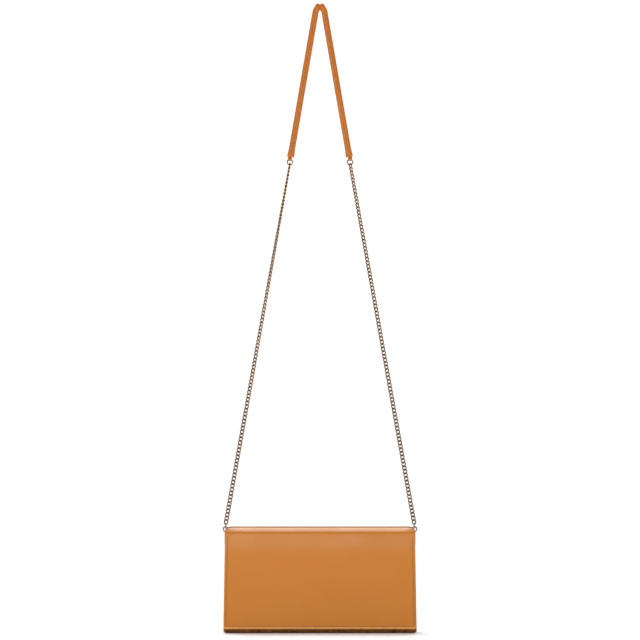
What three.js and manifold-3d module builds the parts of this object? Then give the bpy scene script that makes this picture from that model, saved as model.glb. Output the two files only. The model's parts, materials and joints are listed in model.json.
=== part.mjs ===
// Chain wallet: a flap wallet with folded side gussets, hung from two runs of curb chain
// that meet in a short leather shoulder strap.
// Millimetres. +Z is up, the front of the wallet faces -Y, +X is to the right seen from the front.
// The origin is the crook of the strap's top fold, on the side that rests on a hook or a hand.
import * as THREE from 'three';
import { mergeVertices } from 'three/addons/utils/BufferGeometryUtils.js';
import Module from 'manifold-3d';

const wasm = await Module();
wasm.setup();

// ---- driving dimensions -------------------------------------------------------------------

const GAP = 0.3;                     // play left between two pieces that touch

// Shoulder strap: two leather plies over a tape core, folded sharply over at the top.
const STRAP_HALF_WIDTH = 3.1;
const STRAP_PLY = 0.8;
const STRAP_CORE = 0.8;
const STRAP_LEG_TOP_X = 4.26;        // centre of a leg level with the crook
const STRAP_LEG_SLOPE = 0.172;       // sideways run of a leg per millimetre of drop
const STRAP_END_Z = -147.5;
const STRAP_CORE_END_Z = -134;
const STRAP_FLARE = 0.5;             // extra half width at the sewn end
const STRAP_FLARE_LENGTH = 9;
const LOBE_X = 2.4;                  // the fold pinches into two lobes with a notch between them
const LOBE_TOP_Z = 7.3;
const NOTCH_Z = 5.8;
const LOBE_PULL = 1.5;               // how far the lobe's curve reaches to each side of its top
const SHOULDER_Z = -2;               // the straight legs give way to the fold's curve here
const SHOULDER_BEND = [7.0, 1.6];    // the curve's turning points between leg and lobe, as X and Z
const SHOULDER_TOP = [5.2, 4.2];
const STRAP_CORE_TRIM = 0.9;

// Rings, tabs and chains.
const RING_WIRE = 0.55;              // wire radius
const STRAP_RING_RADIUS = 2.8;       // centre line of the wire
const CORNER_RING_RADIUS = 2.45;
const TAB_WIDTH = 3.0;
const TAB_LEATHER = 0.8;
const TAB_BORE = 1.3;                // inner radius of the tab's loop round the wire
const TAB_STEM_HALF = 0.4;           // half thickness of the tab's flat part
const TAB_STEM_LENGTH = 11;
const CHAIN_SWING_Z = -149.8;        // axis of the chains' swing, through both strap tabs
const STRAP_RING_X = 30.3;
const CORNER_RING_X = 95.2;
const WALLET_SWING_Z = -525.45;      // axis of the wallet's swing, through both corner tabs
const CHAIN_RADIUS = 1.6;            // a rod that holds about the chain's metal
const CHAIN_SIDES = 8;
const CHAIN_STEPS = 60;
const END_LINK_RADIUS = 1.9;
const END_LINK_STRETCH = 1.3;
const LINK_PLAY = 0.2;

// Wallet envelope. Depths are counted forward from the outside of the back panel.
const TOP_Z = -520.5;
const BOTTOM_Z = -627.1;
const BACK_Y = 15.7;                 // outside of the back panel
const HALF_WIDTH_TOP = 95.6;
const HALF_WIDTH_BOTTOM = 97.4;
const TOP_CORNER_HALF = 93.2;        // half width at the very top, where the corners are cut away
const CORNER_CUT = 6;
const LOWER_CORNER_RADIUS = 2.5;
const FLAP_OUTER_TOP = 26.5;
const FLAP_OUTER_BOTTOM = 33;
const FRONT_OUTER_TOP = 23;
const FRONT_OUTER_BOTTOM = 28.5;
const LEATHER = 1.2;
const BOARD = 0.5;
const LINING = 0.6;
const SHELL = LEATHER + GAP + BOARD + GAP + LINING;
const BACK_BOARD_INSET = 2.5;
const FRONT_INSET = 0.6;
const FRONT_BOARD_INSET = 3.0;

// Flap.
const FLAP_BOTTOM_Z = -622.9;
const FLAP_FOLD_DROP = 1.6;          // fold axes below the top face
const BACK_FOLD_DEPTH = 0.9;
const FRONT_FOLD_DEPTH = 24.9;
const FLAP_TOP_HALF = 90;            // the top of the flap is narrowed to pass between the rings
const FOLD_ROOM = 0.8;
const FLAP_BOARD_INSET = 4;
const FLAP_BOARD_DROP = 3;
const FLAP_LINING_INSET = 1;
const TOP_LINING_TRIM = 0.6;
const MAGNET_RADIUS = 7;
const MAGNET_Z = -602;
const MAGNET_THICKNESS = 1.0;

// Inside.
const PANEL_DROP = 4;                // top edges of the inner panels below the top face
const PANEL_TOP_Z = TOP_Z - PANEL_DROP;
const FLOOR_Z = BOTTOM_Z + LEATHER + GAP;
const LINING_HALF = 93.4;
const GUSSET_OUT = 94;
const GUSSET_IN = 89.2;
const GUSSET_MIDDLE = 92.6;
const GUSSET_WALL = 1.0;
const GUSSET_TOP_Z = -528.5;
const GUSSET_STEPS = 6;
const POCKET_HALF = 87;
const POCKET_DEPTH = 11.2;           // outside of the zip pocket's back wall
const POCKET_THICKNESS = 4.4;
const POCKET_WALL = 0.6;
const POCKET_TOP_Z = -546;
const SLOT_WIDTH = 86.4;
const SLOT_TOPS = { upper: -547, middle: -557.5, lower: -568 };

// Zip along the top of the pocket.
const TEETH_HALF_LENGTH = 84;
const TEETH_WIDTH = 1.0;
const TEETH_HEIGHT = 1.8;
const TEETH_BOTTOM_Z = -542.2;
const TAPE = 0.5;
const TAPE_BOTTOM_Z = -549;
const STOP_LENGTH = 1.6;
const SLIDER_X = 72;                 // the zip is drawn shut
const SLIDER_LENGTH = 8;
const SLIDER_WALL = 0.7;
const SLIDER_PLATE = 0.8;
const ARCH_HALF_LENGTH = 3;
const ARCH_HEIGHT = 2.3;
const ARCH_WIDTH = 1.2;
const ARCH_WIRE = 0.9;
const PULL_LENGTH = 12;
const PULL_HALF_WIDTH = 1.8;
const PULL_THICKNESS = 0.8;
const PULL_NOSE = 1;                 // length of the tongue's rounded end
const PULL_PLAY = 0.2;
const PULL_WINDOW = 4.4;
const PULL_WINDOW_HALF = 1.0;

// ---- derived places -----------------------------------------------------------------------

const WALLET_HEIGHT = TOP_Z - BOTTOM_Z;
const FRONT_SLOPE = (FRONT_OUTER_BOTTOM - FRONT_OUTER_TOP) / WALLET_HEIGHT;
const FLAP_SLOPE = (FLAP_OUTER_BOTTOM - FLAP_OUTER_TOP) / WALLET_HEIGHT;
const FOLD_Z = TOP_Z - FLAP_FOLD_DROP;
const STRAP_RING_Z = CHAIN_SWING_Z - STRAP_RING_RADIUS;
const CORNER_RING_Z = WALLET_SWING_Z + CORNER_RING_RADIUS;
const END_LINK_REACH = END_LINK_RADIUS * END_LINK_STRETCH;
const END_LINK_Z = CORNER_RING_Z + CORNER_RING_RADIUS - 2 * RING_WIRE - LINK_PLAY + END_LINK_REACH;
const ZIP_DEPTH = POCKET_DEPTH + POCKET_THICKNESS / 2;
const TEETH_TOP_Z = TEETH_BOTTOM_Z + TEETH_HEIGHT;
const SLIDER_TOP_Z = TEETH_TOP_Z + GAP + SLIDER_PLATE;
const PULL_AXIS_Z = SLIDER_TOP_Z + PULL_THICKNESS / 2 + PULL_PLAY;

// ---- colours ------------------------------------------------------------------------------

const COLOURS = {
  calf: [0xc27a3a, 0.5, 0.0],
  strap: [0xb66a22, 0.5, 0.0],
  lining: [0x8a5a34, 0.85, 0.0],
  board: [0x8b857b, 0.9, 0.0],
  tape: [0x6b4526, 0.9, 0.0],
  brass: [0x9a7238, 0.35, 1.0],
  steel: [0xb8b8ba, 0.35, 1.0],
};

function finish(name) {
  const [color, roughness, metalness] = COLOURS[name];
  return new THREE.MeshStandardMaterial({ color, roughness, metalness });
}

// ---- shape helpers ------------------------------------------------------------------------

const SIDES = [['left', -1], ['right', 1]];
const wallet = new THREE.Group();

function add(name, geometry, colour) {
  const mesh = new THREE.Mesh(geometry, finish(colour));
  mesh.name = name;
  wallet.add(mesh);
  return mesh;
}

// A flat outline in X and Z, given thickness towards -Y from the depth of its rear face.
function sheet(shape, rearDepth, thickness) {
  const geometry = new THREE.ExtrudeGeometry(shape, {
    depth: thickness, bevelEnabled: false, curveSegments: 6,
  });
  geometry.rotateX(Math.PI / 2);
  geometry.translate(0, BACK_Y - rearDepth, 0);
  return geometry;
}

// Leans a piece forward as it goes down from the top of the wallet.
function lean(geometry, slope) {
  const points = geometry.attributes.position;
  for (let i = 0; i < points.count; i += 1) {
    points.setY(i, points.getY(i) - slope * (TOP_Z - points.getZ(i)));
  }
  geometry.computeVertexNormals();
  return geometry;
}

// A profile in Y and Z, extruded along X and centred on centreX.
function alongX(shape, length, centreX) {
  const geometry = new THREE.ExtrudeGeometry(shape, {
    depth: length, bevelEnabled: false, curveSegments: 10,
  });
  const toXAxis = new THREE.Matrix4().makeBasis(
    new THREE.Vector3(0, 1, 0), new THREE.Vector3(0, 0, 1), new THREE.Vector3(1, 0, 0),
  );
  geometry.applyMatrix4(toXAxis);
  geometry.translate(centreX - length / 2, 0, 0);
  return geometry;
}

function rectangle(x0, z0, x1, z1) {
  const shape = new THREE.Shape();
  shape.moveTo(x0, z0);
  shape.lineTo(x1, z0);
  shape.lineTo(x1, z1);
  shape.lineTo(x0, z1);
  shape.closePath();
  return shape;
}

// Half width of the wallet's outline at a height.
function halfWidthAt(z) {
  const down = (TOP_Z - z) / WALLET_HEIGHT;
  return HALF_WIDTH_TOP + (HALF_WIDTH_BOTTOM - HALF_WIDTH_TOP) * down;
}

// The outline shared by the flap and the panels: cut top corners, rounded lower corners.
function panelOutline(topZ, bottomZ, inset, lowerRadius) {
  const cutZ = TOP_Z - CORNER_CUT;
  const topHalf = TOP_CORNER_HALF - inset;
  const cutHalf = halfWidthAt(cutZ) - inset;
  const bottomHalf = halfWidthAt(bottomZ) - inset;
  const shape = new THREE.Shape();
  shape.moveTo(-bottomHalf + lowerRadius, bottomZ);
  shape.lineTo(bottomHalf - lowerRadius, bottomZ);
  shape.quadraticCurveTo(bottomHalf, bottomZ, bottomHalf, bottomZ + lowerRadius);
  shape.lineTo(cutHalf, cutZ);
  shape.lineTo(topHalf, topZ);
  shape.lineTo(-topHalf, topZ);
  shape.lineTo(-cutHalf, cutZ);
  shape.lineTo(-bottomHalf, bottomZ + lowerRadius);
  shape.quadraticCurveTo(-bottomHalf, bottomZ, -bottomHalf + lowerRadius, bottomZ);
  return shape;
}

function magnetHole(radius) {
  const hole = new THREE.Path();
  hole.absarc(0, MAGNET_Z, radius, 0, 2 * Math.PI, true);
  return hole;
}

function disc(radius) {
  const shape = new THREE.Shape();
  shape.absarc(0, MAGNET_Z, radius, 0, 2 * Math.PI, false);
  return shape;
}

function toSolid(geometry) {
  const bare = geometry.clone();
  for (const name of Object.keys(bare.attributes)) {
    if (name !== 'position') bare.deleteAttribute(name);
  }
  const merged = mergeVertices(bare, 1e-4);
  return new wasm.Manifold(new wasm.Mesh({
    numProp: 3,
    vertProperties: new Float32Array(merged.attributes.position.array),
    triVerts: new Uint32Array(merged.index.array),
  }));
}

function fromSolid(solid) {
  const mesh = solid.getMesh();
  const geometry = new THREE.BufferGeometry();
  geometry.setAttribute('position', new THREE.BufferAttribute(mesh.vertProperties, 3));
  geometry.setIndex(new THREE.BufferAttribute(mesh.triVerts, 1));
  geometry.computeVertexNormals();
  return geometry;
}

// ---- shoulder strap -----------------------------------------------------------------------

// One ply of the strap as an outline in X and Z: two legs that part below a pinched fold.
function strapOutline(halfWidth, endZ, flare) {
  const across = halfWidth * Math.hypot(1, STRAP_LEG_SLOPE);
  const trim = STRAP_HALF_WIDTH - halfWidth;
  const legX = (z) => STRAP_LEG_TOP_X - STRAP_LEG_SLOPE * z;
  const flareZ = endZ + STRAP_FLARE_LENGTH;
  const crook = STRAP_LEG_TOP_X - across;
  const lobeZ = LOBE_TOP_Z - trim;
  const lobeOuter = LOBE_X + LOBE_PULL - trim;
  const lobeInner = LOBE_X - LOBE_PULL;
  const [bendX, bendZ] = [SHOULDER_BEND[0] - trim, SHOULDER_BEND[1]];
  const [shoulderX, shoulderTopZ] = [SHOULDER_TOP[0] - trim, SHOULDER_TOP[1]];
  const shape = new THREE.Shape();
  shape.moveTo(legX(endZ) + across + flare, endZ);
  shape.lineTo(legX(flareZ) + across, flareZ);
  shape.lineTo(legX(SHOULDER_Z) + across, SHOULDER_Z);
  shape.quadraticCurveTo(bendX, bendZ, shoulderX, shoulderTopZ);
  shape.quadraticCurveTo(lobeOuter, lobeZ, LOBE_X, lobeZ);
  shape.quadraticCurveTo(lobeInner, lobeZ, 0, NOTCH_Z - trim);
  shape.quadraticCurveTo(-lobeInner, lobeZ, -LOBE_X, lobeZ);
  shape.quadraticCurveTo(-lobeOuter, lobeZ, -shoulderX, shoulderTopZ);
  shape.quadraticCurveTo(-bendX, bendZ, -legX(SHOULDER_Z) - across, SHOULDER_Z);
  shape.lineTo(-legX(flareZ) - across, flareZ);
  shape.lineTo(-legX(endZ) - across - flare, endZ);
  shape.lineTo(-legX(endZ) + across + flare, endZ);
  shape.lineTo(-legX(flareZ) + across, flareZ);
  shape.lineTo(-crook, -crook);
  shape.absarc(0, -crook, crook, Math.PI, 0, true);
  shape.lineTo(legX(flareZ) - across, flareZ);
  shape.lineTo(legX(endZ) - across - flare, endZ);
  shape.closePath();
  return shape;
}

function strapPly(name, shape, frontY, thickness, colour) {
  const geometry = sheet(shape, BACK_Y - frontY - thickness, thickness);
  add(name, geometry, colour);
}

// A leather tab: a loop round a ring's wire with a flat stem, as a profile in Y and Z about the loop.
function tabProfile(stemLength) {
  const outer = TAB_BORE + TAB_LEATHER;
  const meet = Math.acos(TAB_STEM_HALF / outer);
  const shape = new THREE.Shape();
  shape.moveTo(-TAB_STEM_HALF, -outer - stemLength);
  shape.lineTo(TAB_STEM_HALF, -outer - stemLength);
  shape.lineTo(TAB_STEM_HALF, outer * Math.sin(-meet));
  shape.absarc(0, 0, outer, -meet, Math.PI + meet, false);
  shape.closePath();
  const bore = new THREE.Path();
  bore.absarc(0, 0, TAB_BORE, 0, 2 * Math.PI, true);
  shape.holes.push(bore);
  return shape;
}

function makeStrap() {
  const face = strapOutline(STRAP_HALF_WIDTH, STRAP_END_Z, STRAP_FLARE);
  const core = strapOutline(STRAP_HALF_WIDTH - STRAP_CORE_TRIM, STRAP_CORE_END_Z, 0);
  const ply = STRAP_CORE / 2 + GAP;
  strapPly('strap_face', face, -ply - STRAP_PLY, STRAP_PLY, 'strap');
  strapPly('strap_core', core, -STRAP_CORE / 2, STRAP_CORE, 'tape');
  strapPly('strap_lining', face, ply, STRAP_PLY, 'strap');
}

// ---- rings, tabs and chains, one set a side -----------------------------------------------

function ring(radius) {
  const geometry = new THREE.TorusGeometry(radius, RING_WIRE, 8, 24);
  geometry.rotateX(Math.PI / 2);
  return geometry;
}

function endLink() {
  const geometry = new THREE.TorusGeometry(END_LINK_RADIUS, RING_WIRE, 8, 20);
  geometry.rotateY(Math.PI / 2);
  geometry.scale(1, 1, END_LINK_STRETCH);
  return geometry;
}

function chainRun(side) {
  const top = new THREE.Vector3(side * STRAP_RING_X, 0,
    STRAP_RING_Z - STRAP_RING_RADIUS - RING_WIRE - GAP);
  const bottom = new THREE.Vector3(side * CORNER_RING_X, 0,
    END_LINK_Z + END_LINK_REACH + RING_WIRE * END_LINK_STRETCH + GAP);
  const section = new THREE.Shape();
  for (let i = 0; i < CHAIN_SIDES; i += 1) {
    const turn = (2 * Math.PI * i) / CHAIN_SIDES;
    const x = CHAIN_RADIUS * Math.cos(turn);
    const y = CHAIN_RADIUS * Math.sin(turn);
    if (i === 0) section.moveTo(x, y);
    else section.lineTo(x, y);
  }
  section.closePath();
  return new THREE.ExtrudeGeometry(section, {
    steps: CHAIN_STEPS, bevelEnabled: false, extrudePath: new THREE.LineCurve3(top, bottom),
  });
}

function makeSide(word, side) {
  const strapTab = alongX(tabProfile(TAB_STEM_LENGTH), TAB_WIDTH, 0);
  strapTab.rotateX(Math.PI);
  add(`strap_tab_${word}`, strapTab, 'strap').position.set(side * STRAP_RING_X, 0, CHAIN_SWING_Z);
  add(`strap_ring_${word}`, ring(STRAP_RING_RADIUS), 'brass')
    .position.set(side * STRAP_RING_X, 0, STRAP_RING_Z);
  add(`chain_${word}`, chainRun(side), 'brass');
  add(`end_link_${word}`, endLink(), 'brass')
    .position.set(side * CORNER_RING_X, 0, END_LINK_Z);
  add(`corner_ring_${word}`, ring(CORNER_RING_RADIUS), 'brass')
    .position.set(side * CORNER_RING_X, 0, CORNER_RING_Z);
  add(`corner_tab_${word}`, alongX(tabProfile(TAB_STEM_LENGTH), TAB_WIDTH, 0), 'calf')
    .position.set(side * CORNER_RING_X, 0, WALLET_SWING_Z);
}

// ---- wallet shell -------------------------------------------------------------------------

function makeBack() {
  const top = TOP_Z - FLAP_FOLD_DROP - FOLD_ROOM;
  add('back_panel', sheet(panelOutline(top, FLOOR_Z, 0, LOWER_CORNER_RADIUS), 0, LEATHER), 'calf');
  const board = panelOutline(PANEL_TOP_Z, FLOOR_Z, BACK_BOARD_INSET, LOWER_CORNER_RADIUS);
  add('back_board', sheet(board, LEATHER + GAP, BOARD), 'board');
  const lining = rectangle(-LINING_HALF, FLOOR_Z, LINING_HALF, GUSSET_TOP_Z);
  add('back_lining', sheet(lining, SHELL - LINING, LINING), 'lining');
}

function makeFront() {
  const leather = panelOutline(PANEL_TOP_Z, FLOOR_Z, FRONT_INSET, LOWER_CORNER_RADIUS);
  leather.holes.push(magnetHole(MAGNET_RADIUS + GAP));
  add('front_panel', lean(sheet(leather, FRONT_OUTER_TOP - LEATHER, LEATHER), FRONT_SLOPE), 'calf');
  const board = panelOutline(PANEL_TOP_Z, FLOOR_Z, FRONT_BOARD_INSET, LOWER_CORNER_RADIUS);
  const boardDepth = FRONT_OUTER_TOP - LEATHER - GAP - BOARD;
  add('front_board', lean(sheet(board, boardDepth, BOARD), FRONT_SLOPE), 'board');
  const lining = rectangle(-LINING_HALF, FLOOR_Z, LINING_HALF, GUSSET_TOP_Z);
  add('front_lining', lean(sheet(lining, FRONT_OUTER_TOP - SHELL, LINING), FRONT_SLOPE), 'lining');
  const stud = sheet(disc(MAGNET_RADIUS), FRONT_OUTER_TOP - LEATHER + GAP, MAGNET_THICKNESS);
  add('front_magnet', lean(stud, FRONT_SLOPE), 'steel');
}

function makeBase() {
  const frontY = BACK_Y - FRONT_OUTER_BOTTOM;
  const profile = rectangle(frontY, BOTTOM_Z, BACK_Y, BOTTOM_Z + LEATHER);
  const width = 2 * halfWidthAt(BOTTOM_Z) - 2 * LOWER_CORNER_RADIUS;
  add('base_panel', alongX(profile, width, 0), 'calf');
}

// A side wall folded in a W, wider at its foot than at its mouth.
function makeGusset(word, side) {
  const rear = SHELL + GAP;
  const front = FRONT_OUTER_TOP - SHELL - GAP;
  const middle = BACK_Y;
  const folds = [
    [rear, GUSSET_OUT], [(rear + middle) / 2, GUSSET_IN], [middle, GUSSET_MIDDLE],
    [(middle + front) / 2, GUSSET_IN], [front, GUSSET_OUT],
  ];
  const shape = new THREE.Shape();
  folds.forEach(([depth, x], i) => {
    if (i === 0) shape.moveTo(side * x, -depth);
    else shape.lineTo(side * x, -depth);
  });
  [...folds].reverse().forEach(([depth, x]) => shape.lineTo(side * (x - GUSSET_WALL), -depth));
  shape.closePath();
  const height = GUSSET_TOP_Z - FLOOR_Z;
  const geometry = new THREE.ExtrudeGeometry(shape, {
    depth: height, steps: GUSSET_STEPS, bevelEnabled: false,
  });
  geometry.translate(0, 0, FLOOR_Z);
  const points = geometry.attributes.position;
  for (let i = 0; i < points.count; i += 1) {
    const extra = FRONT_SLOPE * (TOP_Z - points.getZ(i));
    const share = (-points.getY(i) - rear) / (front - rear);
    points.setY(i, BACK_Y + points.getY(i) - extra * share);
  }
  geometry.computeVertexNormals();
  add(`gusset_${word}`, geometry, 'calf');
}

// ---- zip pocket and card slots ------------------------------------------------------------

function makePocket() {
  const wall = rectangle(-POCKET_HALF, FLOOR_Z, POCKET_HALF, POCKET_TOP_Z);
  const frontDepth = POCKET_DEPTH + POCKET_THICKNESS - POCKET_WALL;
  add('pocket_back_wall', sheet(wall, POCKET_DEPTH, POCKET_WALL), 'lining');
  add('pocket_front_wall', sheet(wall, frontDepth, POCKET_WALL), 'lining');
}

// Card slots stand in two columns against the back lining, each row lower than the one behind it.
function makeCardSlots() {
  Object.entries(SLOT_TOPS).forEach(([row, topZ], i) => {
    const depth = SHELL + GAP + i * (POCKET_WALL + GAP);
    for (const [word, side] of SIDES) {
      const centre = side * (SLOT_WIDTH + GAP) / 2;
      const slot = rectangle(centre - SLOT_WIDTH / 2, FLOOR_Z, centre + SLOT_WIDTH / 2, topZ);
      add(`card_slot_${row}_${word}`, sheet(slot, depth, POCKET_WALL), 'calf');
    }
  });
}

function makeZip() {
  const tape = rectangle(-TEETH_HALF_LENGTH, TAPE_BOTTOM_Z, TEETH_HALF_LENGTH, TEETH_BOTTOM_Z - GAP);
  const teeth = rectangle(-TEETH_HALF_LENGTH, TEETH_BOTTOM_Z, TEETH_HALF_LENGTH, TEETH_TOP_Z);
  const teethDepth = GAP / 2 + TEETH_WIDTH;
  add('zip_tape_back', sheet(tape, ZIP_DEPTH - teethDepth, TAPE), 'tape');
  add('zip_tape_front', sheet(tape, ZIP_DEPTH + teethDepth - TAPE, TAPE), 'tape');
  add('zip_teeth_back', sheet(teeth, ZIP_DEPTH - teethDepth, TEETH_WIDTH), 'brass');
  add('zip_teeth_front', sheet(teeth, ZIP_DEPTH + GAP / 2, TEETH_WIDTH), 'brass');
  for (const [word, side] of SIDES) {
    const near = side * (TEETH_HALF_LENGTH + GAP);
    const far = near + side * STOP_LENGTH;
    const stop = rectangle(Math.min(near, far), TEETH_BOTTOM_Z, Math.max(near, far), TEETH_TOP_Z);
    add(`zip_stop_${word}`, sheet(stop, ZIP_DEPTH - teethDepth, 2 * teethDepth), 'brass');
  }
}

// The slider: a channel over both rows of teeth with an arch on top for the pull.
function makeSlider() {
  const y = BACK_Y - ZIP_DEPTH;
  const inner = GAP / 2 + TEETH_WIDTH + GAP;
  const outer = inner + SLIDER_WALL;
  const lowZ = TEETH_BOTTOM_Z;
  const channel = new THREE.Shape();
  channel.moveTo(y - outer, lowZ);
  channel.lineTo(y - inner, lowZ);
  channel.lineTo(y - inner, SLIDER_TOP_Z - SLIDER_PLATE);
  channel.lineTo(y + inner, SLIDER_TOP_Z - SLIDER_PLATE);
  channel.lineTo(y + inner, lowZ);
  channel.lineTo(y + outer, lowZ);
  channel.lineTo(y + outer, SLIDER_TOP_Z);
  channel.lineTo(y - outer, SLIDER_TOP_Z);
  channel.closePath();
  const archBase = SLIDER_TOP_Z - SLIDER_PLATE / 2;
  const archTop = SLIDER_TOP_Z + ARCH_HEIGHT;
  const left = SLIDER_X - ARCH_HALF_LENGTH;
  const right = SLIDER_X + ARCH_HALF_LENGTH;
  const arch = new THREE.Shape();
  arch.moveTo(left, archBase);
  arch.lineTo(left + ARCH_WIRE, archBase);
  arch.lineTo(left + ARCH_WIRE, archTop - ARCH_WIRE);
  arch.lineTo(right - ARCH_WIRE, archTop - ARCH_WIRE);
  arch.lineTo(right - ARCH_WIRE, archBase);
  arch.lineTo(right, archBase);
  arch.lineTo(right, archTop - ARCH_WIRE / 2);
  arch.lineTo(right - ARCH_WIRE / 2, archTop);
  arch.lineTo(left + ARCH_WIRE / 2, archTop);
  arch.lineTo(left, archTop - ARCH_WIRE / 2);
  arch.closePath();
  const body = toSolid(alongX(channel, SLIDER_LENGTH, SLIDER_X));
  const bridge = toSolid(sheet(arch, ZIP_DEPTH - ARCH_WIDTH / 2, ARCH_WIDTH));
  add('zip_slider', fromSolid(body.add(bridge)), 'brass');
}

// The pull: a flat tongue whose end bar passes under the slider's arch.
function makePull() {
  const y = BACK_Y - ZIP_DEPTH;
  const bar = PULL_THICKNESS / 2;
  const tongue = new THREE.Shape();
  tongue.moveTo(bar, -PULL_HALF_WIDTH);
  tongue.lineTo(bar, PULL_HALF_WIDTH);
  tongue.lineTo(-PULL_LENGTH + PULL_NOSE, PULL_HALF_WIDTH);
  tongue.quadraticCurveTo(-PULL_LENGTH, PULL_HALF_WIDTH, -PULL_LENGTH, 0);
  tongue.quadraticCurveTo(-PULL_LENGTH, -PULL_HALF_WIDTH, -PULL_LENGTH + PULL_NOSE, -PULL_HALF_WIDTH);
  tongue.closePath();
  const windowHole = new THREE.Path();
  windowHole.moveTo(-bar, -PULL_WINDOW_HALF);
  windowHole.lineTo(-PULL_WINDOW, -PULL_WINDOW_HALF);
  windowHole.lineTo(-PULL_WINDOW, PULL_WINDOW_HALF);
  windowHole.lineTo(-bar, PULL_WINDOW_HALF);
  windowHole.closePath();
  tongue.holes.push(windowHole);
  const geometry = new THREE.ExtrudeGeometry(tongue, {
    depth: PULL_THICKNESS, bevelEnabled: false, curveSegments: 5,
  });
  geometry.translate(SLIDER_X, y, PULL_AXIS_Z - PULL_THICKNESS / 2);
  add('zip_pull', geometry, 'brass');
}

// ---- flap ---------------------------------------------------------------------------------

function flapTopPly(name, drop, thickness, frontTrim, colour) {
  const rearY = BACK_Y - BACK_FOLD_DEPTH - FOLD_ROOM;
  const frontY = BACK_Y - FRONT_FOLD_DEPTH + FOLD_ROOM + frontTrim;
  const profile = rectangle(frontY, TOP_Z - drop - thickness, rearY, TOP_Z - drop);
  add(name, alongX(profile, 2 * FLAP_TOP_HALF, 0), colour);
}

function makeFlapTop() {
  flapTopPly('flap_top_leather', 0, LEATHER, 0, 'calf');
  flapTopPly('flap_top_lining', LEATHER + GAP, LINING, TOP_LINING_TRIM, 'lining');
}

function makeFlapFront() {
  const topZ = FOLD_Z - FOLD_ROOM;
  const leather = panelOutline(topZ, FLAP_BOTTOM_Z, 0, LOWER_CORNER_RADIUS);
  add('flap_leather', lean(sheet(leather, FLAP_OUTER_TOP - LEATHER, LEATHER), FLAP_SLOPE), 'calf');
  const board = panelOutline(topZ - FLAP_BOARD_DROP, FLAP_BOTTOM_Z + FLAP_BOARD_INSET,
    FLAP_BOARD_INSET, LOWER_CORNER_RADIUS);
  const boardDepth = FLAP_OUTER_TOP - LEATHER - GAP - BOARD;
  add('flap_board', lean(sheet(board, boardDepth, BOARD), FLAP_SLOPE), 'board');
  const lining = panelOutline(topZ - FLAP_LINING_INSET, FLAP_BOTTOM_Z + FLAP_LINING_INSET,
    FLAP_LINING_INSET, LOWER_CORNER_RADIUS);
  lining.holes.push(magnetHole(MAGNET_RADIUS + GAP));
  add('flap_lining', lean(sheet(lining, FLAP_OUTER_TOP - SHELL, LINING), FLAP_SLOPE), 'lining');
  const socketDepth = FLAP_OUTER_TOP - SHELL + LINING - MAGNET_THICKNESS;
  add('flap_magnet', lean(sheet(disc(MAGNET_RADIUS), socketDepth, MAGNET_THICKNESS), FLAP_SLOPE), 'steel');
}

// ---- assembly -----------------------------------------------------------------------------

makeStrap();
for (const [word, side] of SIDES) {
  makeSide(word, side);
  makeGusset(word, side);
}
makeBack();
makeFront();
makeBase();
makePocket();
makeCardSlots();
makeZip();
makeSlider();
makePull();
makeFlapTop();
makeFlapFront();

export default wallet;
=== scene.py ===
"""Chain wallet: the leather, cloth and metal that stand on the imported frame.

Lengths in this script are millimetres until a vertex is made, and metres after that.
Across is X, the front faces -Y, up is Z. Depths are counted forward from the outside of the back.
"""

import bisect
import json
import math
import random
from dataclasses import dataclass
from typing import Callable

import bmesh
import bpy
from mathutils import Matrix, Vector, noise


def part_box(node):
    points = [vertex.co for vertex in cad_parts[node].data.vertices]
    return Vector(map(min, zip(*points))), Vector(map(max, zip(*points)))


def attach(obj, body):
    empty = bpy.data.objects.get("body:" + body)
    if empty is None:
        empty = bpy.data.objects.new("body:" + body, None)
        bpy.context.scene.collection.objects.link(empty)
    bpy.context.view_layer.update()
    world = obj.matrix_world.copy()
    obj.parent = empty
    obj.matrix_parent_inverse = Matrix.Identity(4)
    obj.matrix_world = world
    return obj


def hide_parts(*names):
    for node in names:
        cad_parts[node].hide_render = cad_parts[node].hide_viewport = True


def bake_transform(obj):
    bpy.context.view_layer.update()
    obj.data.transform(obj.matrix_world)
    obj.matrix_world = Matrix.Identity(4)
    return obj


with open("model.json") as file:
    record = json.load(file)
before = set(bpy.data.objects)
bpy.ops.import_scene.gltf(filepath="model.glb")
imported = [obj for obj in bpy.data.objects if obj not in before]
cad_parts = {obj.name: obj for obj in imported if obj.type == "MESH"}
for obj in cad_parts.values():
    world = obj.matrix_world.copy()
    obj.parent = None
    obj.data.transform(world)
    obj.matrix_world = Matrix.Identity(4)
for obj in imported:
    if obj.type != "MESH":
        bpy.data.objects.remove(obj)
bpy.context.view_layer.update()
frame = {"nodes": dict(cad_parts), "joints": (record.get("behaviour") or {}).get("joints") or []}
MM = 0.001
dice = random.Random(11)


def low(node):
    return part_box(node)[0] / MM


def high(node):
    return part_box(node)[1] / MM


def middle(node):
    return (low(node) + high(node)) / 2


# ---- places read from the frame ----

BACK_Y = high("back_panel").y
TOP_Z = high("flap_top_leather").z
BOTTOM_Z = low("base_panel").z
FLOOR_Z = low("back_lining").z
FLAP_END_Z = low("flap_leather").z
FLAP_END_DEPTH = BACK_Y - low("flap_leather").y
FRONT_TOP_Z = high("front_panel").z - 4  # the front wall stops short of the flap's fold
FRONT_END_Z = low("front_panel").z
FRONT_END_DEPTH = BACK_Y - low("front_panel").y
GUSSET_TOP_Z = high("gusset_left").z
TOP_HALF = high("flap_top_leather").x
MAGNET_Z = middle("flap_magnet").z
MAGNET_RADIUS = (high("flap_magnet").x - low("flap_magnet").x) / 2
ZIP_Y = middle("zip_stop_left").y

# ---- sizes shared with the frame's source ----

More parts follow.
